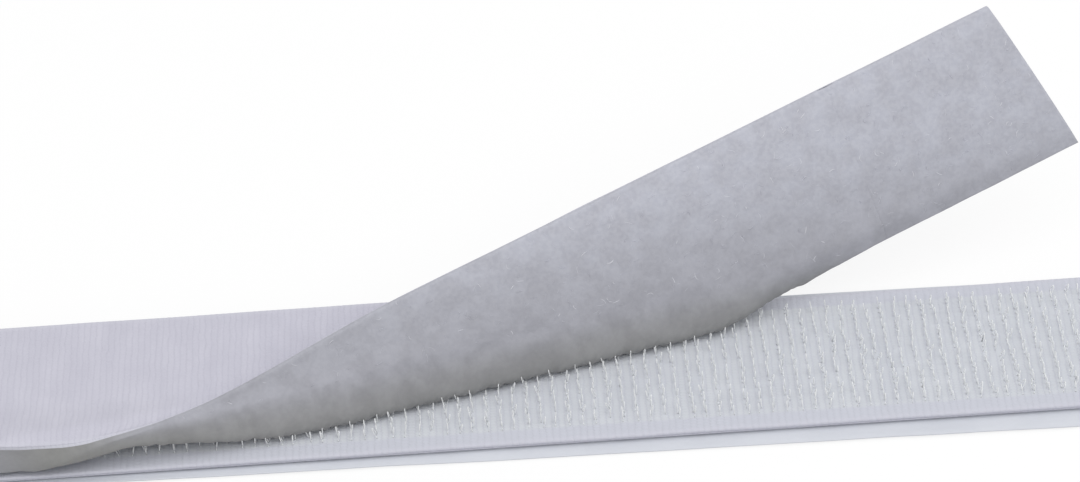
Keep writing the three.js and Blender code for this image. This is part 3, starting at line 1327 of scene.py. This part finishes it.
@dataclass
class LoopStrip:
    """The upper strip: coated woven ground with a brushed face of loops, half peeled off.

    Attributes:
        fold: The peel.
        half_width: Half of the strip's width.
        start: Its closed end.
        flex: Where its free end starts to flex, and stops.
        near_end: Where the cut ends on the near edge.
        far_end: Where the cut ends on the far edge.
        drawn: The loops drawn out at the peel.
        rib_pitch: Distance between the crosswise ribs.
        rib_depth: Height of a rib.
        swell: How far the strip swells out of its plane.
        nap: Depth of the brushed loops under the ground.
        nap_edge: Depth of the brushed loops at the strip's edges.
        wrap: How far the loops stand out past the strip's edges.
        overlap: How far the two stretches of loops run past their seam.
        stand: How far the near edge stands up ahead of the peel.
        hang: How far the near edge hangs below an even bend past the peel.
        bow: How far the middle of the flap bows out towards its loops.
        fibres: Single loops on each square millimetre of open face.
        fibre: Radius of a fibre.
        beside: Depth of the loops that hang beside the hooks along the near edge, ahead of the peel.
        kept_bend: Share of the bend that keeps its shape when the flap swings, with its drawn loops.
        root: Height over the loop face that the loops reach up to at the edges.
        tuft: Depth of the tufts where the loops are drawn out.
        seed: Seed of all that is random.
    """

    fold: PeelFold
    half_width: float
    start: float
    flex: Range
    near_end: float
    far_end: float
    drawn: DrawnLoops
    rib_pitch: float = 0.68
    rib_depth: float = 0.03
    swell: float = 0.05
    nap: float = 0.6
    nap_edge: float = 0.3
    wrap: float = 0.05
    overlap: float = 0.9
    stand: float = 1.7
    hang: float = 1.4
    bow: float = 0.65
    fibres: float = 0.55
    fibre: float = 0.055
    beside: float = 2.1
    kept_bend: float = 0.33
    root: float = 0.42
    tuft: float = 0.16
    seed: int = 37

    NODES = {
        LoopPart.PEEL: ("closed", "bend", "flap"),
        LoopPart.FREE_END: ("flex", "end"),
    }
    BODIES = {
        LoopPart.PEEL: ("loop_strip", "loop_flap"),
        LoopPart.FREE_END: ("loop_flap", "loop_free_end"),
    }
    # How far below the hooks' tips the drawn loops are caught
    CAUGHT = 1.1
    # Distance between the rings of the woven layers and of the loops
    CLOTH_STEP, NAP_STEP = 0.17, 0.25
    # How far in from the edges the back coat ends, and how thick the loops are before they hang down
    BACK_INSET, NAP_SHEET = 0.04, 0.01
    # How far off the middle the near edge starts to stand up, or to hang
    NEAR = 2.0
    # Length from the closed end over which it comes to stand, and where past the contact it is down
    STANDS_WITHIN = 9.0
    STANDS_TO = (-1.5, 3.0)
    # Where past the contact it comes to hang, and where it comes back to an even bend
    HANGS = ((2.0, 5.6), (5.6, 11.0))
    # Where past the contact the flap comes to bow
    BOWS = (4.0, 14.0)
    # Width of the edges over which the loops grow to their full depth
    FULL_WITHIN = 2.5
    # Limits of the loops beside the hooks: in from the near edge, on from the closed end, past the contact
    BESIDE_IN, BESIDE_ON, BESIDE_PAST = (0.9, 1.9), (1.0, 11.0), (-0.5, 2.5)
    # Depth and lattice of each unevenness of the matted loops
    UNEVEN = ((0.04, 3.1), (0.022, 0.95), (0.012, 0.45))
    # Lattice of the tufts, where past the contact they come and go, and the width of their tapering edges
    TUFT_SIZE = 0.8
    TUFTS = ((0.2, 1.6), (2.6, 5.0))
    TUFTS_WITHIN = 3.0
    # Share by which each stretch of loops is tucked in under the other, and where past the seam it starts
    TUCK, TUCK_FROM = 0.6, -0.1
    # Points and sides of a single loop, and how far in from the edges and the cut such loops stand
    FIBRE_POINTS, FIBRE_SIDES = 7, 3
    FIBRE_INSET, FIBRE_FROM_CUT = 0.2, 0.6
    # Length of a single loop, its rise, its bow in shares of its length, and how deep its middle is sunk
    FIBRE_SPAN, FIBRE_RISE = (0.35, 1.0), (0.0, 0.05)
    FIBRE_BOW, FIBRE_SUNK = 0.16, 0.03

    def __post_init__(self) -> None:
        """Draws the unevenness of the loops."""
        self.uneven = [
            (deep, Relief(self.seed + 4 + k, size, size)) for k, (deep, size) in enumerate(self.UNEVEN)
        ]
        self.tufts = Relief(self.seed + 8, self.TUFT_SIZE, self.TUFT_SIZE)

    @classmethod
    def from_frame(cls, fold: PeelFold) -> "LoopStrip":
        """Reads the strip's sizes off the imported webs, laid flat.

        Args:
            fold: The peel.

        Returns:
            The strip.
        """
        closed = corners("loop_web_closed")
        flex, end = (fold.flatten(corners(f"loop_web_{stretch}")) for stretch in ("flex", "end"))
        half_width = float(closed[:, 1].max())
        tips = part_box("hook_band_1")[1].z / MM
        return cls(
            fold=fold,
            half_width=half_width,
            start=float(closed[:, 0].min()),
            flex=(float(flex[:, 0].min()), float(flex[:, 0].max())),
            near_end=float(end[end[:, 1] < 0, 0].max()),
            far_end=float(end[:, 0].max()),
            drawn=DrawnLoops(fold, half_width, fold.face - tips + cls.CAUGHT),
        )

    def build(self, effects: SharedEffects, hooks: list[Piece]) -> list[Piece]:
        """Builds and dresses both stretches.

        Args:
            effects: The shared node groups.
            hooks: The rows of hooks that the closed part lies on; not used.

        Returns:
            The pieces.
        """
        finishes = [finish.build(effects) for finish in (LOOP_GROUND, LOOP_BACK, NAP, FIBRE)]
        made: list[Piece] = []
        for part in LoopPart:
            nodes = {
                layer: [f"loop_{layer}_{stretch}" for stretch in self.NODES[part]]
                for layer in ("web", "coating", "pile")
            }
            ground = dress(self.ground(part), finishes[0], "loop_web", *nodes["web"])
            back = dress(self.back(part), finishes[1], "back_coating", *nodes["coating"])
            nap = dress(self.brushed(part), finishes[2], "loop_pile", *nodes["pile"])
            single = dress(self.single_loops(part), finishes[3], "loop_pile")
            for piece in (ground, back, nap, single):
                self.bend(piece, part)
            made += [ground, back, nap, single]
        return made

    def near(self, v: Array) -> Array:
        """Gives the share of a lift or a hang of the near edge at places across."""
        return ease(-v, self.NEAR, self.half_width)

    def lift(self, u: Array, v: Array) -> Array:
        """Gives how far the near edge stands up ahead of the peel at flat places."""
        along = ease(u - self.start, 0, self.STANDS_WITHIN)
        return self.stand * self.near(v) * along * (1 - ease(self.fold.past(u, v), *self.STANDS_TO))

    def droop(self, u: Array, v: Array) -> Array:
        """Gives how far the near edge hangs below an even bend at flat places."""
        return self.hang * self.near(v) * hump(self.fold.past(u, v), *self.HANGS)

    def place(self, u: Array, v: Array, h: Array) -> Array:
        """Bends flat places into the part's frame, with the near edge uneven and the flap bowed.

        Args:
            u: Places along the flat strip.
            v: Places across it.
            h: Heights over the loop face.

        Returns:
            The bent points, with a last axis of 3.
        """
        bow = self.bow * (1 - (v / self.half_width) ** 2) * ease(self.fold.past(u, v), *self.BOWS)
        points = self.fold.place(u, v, h - bow)
        points[..., 2] += self.lift(u, v) - self.droop(u, v)
        return points

    def bend(self, piece: Piece, part: LoopPart) -> None:
        """Bakes a piece's place into its mesh; the ends of the stretch that would flex across its joint
        are worked out but not used.

        Args:
            piece: The piece, with its final mesh.
            part: The stretch that it belongs to.
        """
        if part is LoopPart.PEEL:
            ends = self.fold.chord(self.kept_bend)
        else:
            middle, level = np.zeros(1), np.zeros(1)
            ends = tuple(self.fold.place(np.array([u]), middle, level)[0] for u in self.flex)
        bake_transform(piece)

    def flat(self, part: LoopPart, step: float, section: Section, over: float = 0.0) -> Grid:
        """Gives one layer of a stretch, laid flat.

        Args:
            part: The stretch.
            step: Distance between rings.
            section: The layer's cross section, in heights over the loop face.
            over: How far the layer runs past the seam of the two stretches.

        Returns:
            The flat points.
        """
        v = section.outline()[0]
        if part is LoopPart.PEEL:
            first, last = np.full_like(v, self.start), np.full_like(v, self.flex[0] + over)
        else:
            first, last = np.full_like(v, self.flex[0] - over), self.cut(v)
        count = int(round((last - first).mean() / step)) + 1
        return section.grid(first + np.linspace(0, 1, count)[:, None] * (last - first))

    def cut(self, v: Array) -> Array:
        """Gives where the slanting cut ends the strip at places across it."""
        share = (v + self.half_width) / (2 * self.half_width)
        return self.near_end + share * (self.far_end - self.near_end)

    def cloth(
        self, name: str, part: LoopPart, section: Section, ribs: tuple[float, float]
    ) -> Piece:
        """Makes a layer of the woven strip.

        Args:
            name: Name of the piece.
            part: The stretch.
            section: Its cross section, in heights over the loop face.
            ribs: Height of the ribs on the upper face and on the lower face.

        Returns:
            The new object.
        """
        grid = self.flat(part, self.CLOTH_STEP, section)
        woven = Ribs(
            self.seed, self.rib_pitch, drift=0.1, drift_size=(5.0, 3.0), uneven=0.35, uneven_across=2.2
        )
        swell = self.swell * Relief(self.seed + 2, along=9.0, across=6.0)(grid.u, grid.v)
        out = EdgeCourse(self.seed + 3, along=5.0).wander(grid, self.half_width)
        relief = np.where(grid.side > 0, *ribs) * grid.side * woven.height(grid)
        return grid.skin(name, self.place(grid.u, out, grid.h + relief + swell))

    def ground(self, part: LoopPart) -> Piece:
        """Makes the woven ground of one stretch."""
        section = Section(self.half_width, low=0.02, high=0.5, edge=0.2, upper=51, lower=51)
        return self.cloth(f"loop_ground_{part.value}", part, section, (0.0, self.rib_depth))

    def back(self, part: LoopPart) -> Piece:
        """Makes the binder on the back of one stretch, which shows the ribs under it."""
        section = Section(
            self.half_width - self.BACK_INSET, low=0.44, high=0.62, edge=0.12, upper=51, lower=51
        )
        return self.cloth(f"loop_back_coat_{part.value}", part, section, (self.rib_depth, 0.0))

    def depth(self, u: Array, v: Array) -> Array:
        """Gives the depth of the brushed loops.

        Args:
            u: Places along the strip.
            v: Places across it.

        Returns:
            The depth at each place.
        """
        past, turn = self.fold.past(u, v), self.fold.turn(u, v)
        from_edge = self.half_width + self.wrap - np.abs(v)
        even = self.nap_edge + (self.nap - self.nap_edge) * ease(from_edge, 0, self.FULL_WITHIN)
        hangs = ease(u - self.start, *self.BESIDE_ON) * (1 - ease(past, *self.BESIDE_PAST))
        hangs = hangs * (1 - ease(self.half_width + v, *self.BESIDE_IN))
        even = even + (self.beside - even) * hangs
        return self.drawn.deepen(u, v, even) + self.lift(u, v) * np.maximum(np.cos(turn), 0)

    def felt(self, u: Array, v: Array) -> Array:
        """Gives the depth of the matted loops, with tufts where they are drawn out.

        Args:
            u: Places along the strip.
            v: Places across it.

        Returns:
            The depth at each place.
        """
        drawn = hump(self.fold.past(u, v), *self.TUFTS)
        drawn = drawn * ease(self.half_width - np.abs(v), 0, self.TUFTS_WITHIN)
        uneven = sum(deep * relief(u, v) for deep, relief in self.uneven)
        return self.depth(u, v) - uneven - self.tuft * drawn * self.tufts(u, v)

    def brushed(self, part: LoopPart) -> Piece:
        """Makes the matted body of loops of one stretch.

        Args:
            part: The stretch.

        Returns:
            The new object.
        """
        reach, low = self.half_width + self.wrap, self.root - self.NAP_SHEET
        section = Section(reach, low, self.root, edge=0.12, upper=51, lower=79)
        grid = self.flat(part, self.NAP_STEP, section, self.overlap)
        past_seam = (grid.u - self.flex[0]) * (1 if part is LoopPart.PEEL else -1)
        under = 1 - self.TUCK * ease(past_seam, self.TUCK_FROM, self.overlap)
        below = np.clip((1 - grid.side) / 2, 0, 1)
        hang = (self.root + self.felt(grid.u, grid.v) * under) * below
        return grid.skin(f"loop_nap_{part.value}", self.place(grid.u, grid.v, grid.h - hang))

    def single_loops(self, part: LoopPart) -> Piece:
        """Makes the single loops that stand out of the brushed face of one stretch.

        Args:
            part: The stretch.

        Returns:
            The new object.
        """
        rng = np.random.default_rng(self.seed * 100 + len(part.value))
        peeled = part is LoopPart.PEEL
        first, last = (self.start, self.flex[0]) if peeled else (self.flex[0], self.far_end)
        reach = self.half_width + self.wrap - self.FIBRE_INSET
        count = int((last - first) * 2 * reach * self.fibres)
        u, v = rng.uniform(first, last, count), rng.uniform(-reach, reach, count)
        past_bend = self.fold.past(u, v) > self.fold.length
        open_face = past_bend & (u < self.cut(v) - self.FIBRE_FROM_CUT)
        u, v = u[open_face], v[open_face]
        turn = rng.uniform(0, math.pi, u.size)
        span = rng.uniform(*self.FIBRE_SPAN, u.size)
        rise = rng.uniform(*self.FIBRE_RISE, u.size)
        bow = rng.normal(0, self.FIBRE_BOW, u.size) * span
        share = np.linspace(0, 1, self.FIBRE_POINTS)
        arch = 4 * share * (1 - share)
        ahead, aside = (share - 0.5) * span[:, None], arch * bow[:, None]
        cos, sin = np.cos(turn)[:, None], np.sin(turn)[:, None]
        along = u[:, None] + ahead * cos - aside * sin
        limit = reach + self.FIBRE_INSET / 2
        across = np.clip(v[:, None] + ahead * sin + aside * cos, -limit, limit)
        height = self.FIBRE_SUNK - self.felt(along, across) - rise[:, None] * arch
        paths = self.place(along, across, height)
        outward = self.place(along, across, height - self.fibre) - paths
        radii = np.full(paths.shape[:2], self.fibre)
        name, flat = f"loop_fibres_{part.value}", np.stack([u, v], axis=-1)
        return strands(name, paths, radii, self.FIBRE_SIDES, outward, flat)


# Studio


@dataclass(frozen=True)
class Studio:
    """The floor, the light and the camera.

    Attributes:
        azimuth: Camera's turn round the object, in degrees.
        elevation: Camera's height over the horizon, in degrees.
        roll: Camera's roll, in degrees.
        target: Point at the middle of the image, in millimetres.
        distance: Camera's distance from it, in millimetres.
        focal: Focal length in pixels of the photograph.
        sky: Strength of the even light from all round.
        lamp: Radiance of the large overhead lamp.
        lamp_size: Side of that lamp, in metres.
        lamp_place: Where it hangs, in metres.
        floor_half: Half of the floor's side, in metres.
        floor_height: Height of the floor, just under the part, in metres.
        floor_colour: Colour that the floor lights the part with.
        floor_glow: Share of the floor that is plain white to the camera, and takes no shadow.
    """

    azimuth: float = 0.13
    elevation: float = 43.03
    roll: float = -4.0
    target: tuple[float, float, float] = (5.78, 23.17, 0.0)
    distance: float = 414.0
    focal: float = 3571.0
    sky: float = 0.62
    lamp: float = 0.98
    lamp_size: float = 1.3
    lamp_place: tuple[float, float, float] = (0.2, -0.2, 0.8)
    floor_half: float = 3.0
    floor_height: float = -0.00005
    floor_colour: Colour = (215, 215, 215)
    floor_glow: float = 0.8

    SENSOR = 36.0
    CLIP = (0.01, 20.0)

    def build(self) -> None:
        """Builds all three."""
        self.camera()
        self.floor()
        self.light()

    def camera(self) -> None:
        """Sets the camera at the photograph's viewing angle."""
        data = bpy.data.cameras.new("camera")
        data.sensor_fit = "HORIZONTAL"
        data.sensor_width = self.SENSOR
        data.lens = self.SENSOR * self.focal / PHOTO_WIDTH
        data.clip_start, data.clip_end = self.CLIP
        camera = link("camera", data)
        a, e, r = (math.radians(x) for x in (self.azimuth, self.elevation, self.roll))
        back = Vector((math.sin(a) * math.cos(e), -math.cos(a) * math.cos(e), math.sin(e)))
        level = Vector((0, 0, 1)).cross(back).normalized()
        upright = back.cross(level)
        right = level * math.cos(r) + upright * math.sin(r)
        up = back.cross(right)
        turn = Matrix((right, up, back)).transposed().to_4x4()
        spot = (Vector(self.target) + back * self.distance) * MM
        camera.matrix_world = Matrix.Translation(spot) @ turn
        bpy.context.scene.camera = camera

    @staticmethod
    def _show(g: Graph, lights: Node, shows: Node, output: str) -> None:
        """Ends a tree that lights the part with one shader and shows another as the background.

        Args:
            g: Graph of the tree.
            lights: The shader that lights the part.
            shows: The shader that the camera sees, also in gloss and through glass.
            output: Kind of the output node.
        """
        path = g.node("LightPath").outputs
        seen = g.math("MAXIMUM", path["Is Camera Ray"], path["Is Glossy Ray"])
        seen = g.math("MAXIMUM", seen, path["Is Transmission Ray"])
        both = g.node("MixShader", {0: seen, 1: lights.outputs[0], 2: shows.outputs[0]})
        g.node(output, {0: both.outputs[0]})

    def floor(self) -> None:
        """Lays a plain pale floor, white to the camera, which keeps the object's shadow."""
        mesh = bpy.data.meshes.new("floor")
        signs = ((-1, -1), (1, -1), (1, 1), (-1, 1))
        points = [(x * self.floor_half, y * self.floor_half, self.floor_height) for x, y in signs]
        mesh.from_pydata(points, [], [(0, 1, 2, 3)])
        floor = link("floor", mesh)
        material = bpy.data.materials.new("Floor")
        material.use_nodes = True
        g = Graph(material.node_tree)
        g.tree.nodes.clear()
        plain = g.node("BsdfDiffuse", {"Color": linear(self.floor_colour)})
        pale = g.node("BsdfDiffuse", {"Color": WHITE})
        white = g.node("Emission", {"Color": WHITE, "Strength": 1.0})
        faint = g.node("MixShader", {0: self.floor_glow, 1: pale.outputs[0], 2: white.outputs[0]})
        self._show(g, plain, faint, "OutputMaterial")
        mesh.materials.append(material)

    def light(self) -> None:
        """Hangs the lamp and sets the even light."""
        data = bpy.data.lights.new("overhead", "AREA")
        data.shape = "SQUARE"
        data.size = self.lamp_size
        data.energy = self.lamp * math.pi * self.lamp_size**2
        lamp = link("overhead", data)
        lamp.location = self.lamp_place
        lamp.rotation_mode = "QUATERNION"
        lamp.rotation_quaternion = Vector(self.lamp_place).to_track_quat("Z", "Y")
        world = bpy.data.worlds.new("studio")
        world.use_nodes = True
        g = Graph(world.node_tree)
        g.tree.nodes.clear()
        even = g.node("Background", {"Color": WHITE, "Strength": self.sky})
        white = g.node("Background", {"Color": WHITE, "Strength": 1.0})
        self._show(g, even, white, "OutputWorld")
        scene = bpy.context.scene
        scene.world = world
        scene.view_settings.view_transform = "Standard"


def main() -> None:
    """Builds the scene."""
    logging.basicConfig(level=logging.INFO, format="%(name)s: %(message)s")
    Studio().build()
    fold = PeelFold.from_frame()
    effects = SharedEffects(fold)
    lower = HookStrip().build(effects)
    rows = [piece for name, piece in lower.items() if name.startswith("hook_rows")]
    upper = LoopStrip.from_frame(fold).build(effects, rows)
    log.info("%d pieces", len(lower) + len(upper))
    bpy.context.view_layer.update()


if __name__ == "__main__":
    main()
